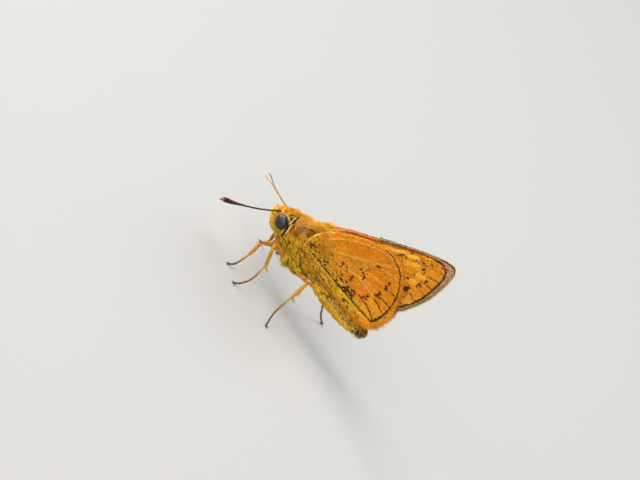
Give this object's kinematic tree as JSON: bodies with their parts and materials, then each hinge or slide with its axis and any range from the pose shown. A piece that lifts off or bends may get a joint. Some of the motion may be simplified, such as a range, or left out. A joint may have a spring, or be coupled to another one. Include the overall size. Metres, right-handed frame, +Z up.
{
  "type": "butterfly model",
  "caption": "Life-size still model of a palm dart skipper butterfly standing with its wings closed over its back.",
  "frame": {"origin": "bottom centre of the bounding box, on the floor that the feet stand on", "axes": "+Z up; the insect looks along -X and its left side is towards -Y; Y is the shortest side of the box"},
  "size_m": [0.0206, 0.013, 0.0177],
  "materials": {
    "orange_coat": "golden-orange hair-like scales",
    "yellow_coat": "pale yellow scales",
    "abdomen_coat": "yellow-orange scales speckled with dark ones",
    "forewing_scales": "orange wing scales with dark veins and border",
    "hindwing_scales": "ochre-orange wing scales with small dark marks",
    "eye": "glossy charcoal compound eye",
    "antenna": "dark and pale ringed scales",
    "leg": "orange to olive scales"
  },
  "bodies": {
    "root": {"head": "orange_coat", "thorax": "orange_coat", "abdomen": "abdomen_coat", "eye_left": "eye", "antenna_left": "antenna", "palp_left": "yellow_coat", "forewing_left": "forewing_scales", "hindwing_left": "hindwing_scales", "leg_fore_left": "leg", "leg_mid_left": "leg", "leg_hind_left": "leg", "eye_right": "eye", "antenna_right": "antenna", "palp_right": "yellow_coat", "forewing_right": "forewing_scales", "hindwing_right": "hindwing_scales", "leg_fore_right": "leg", "leg_mid_right": "leg", "leg_hind_right": "leg"}
  },
  "joints": []
}
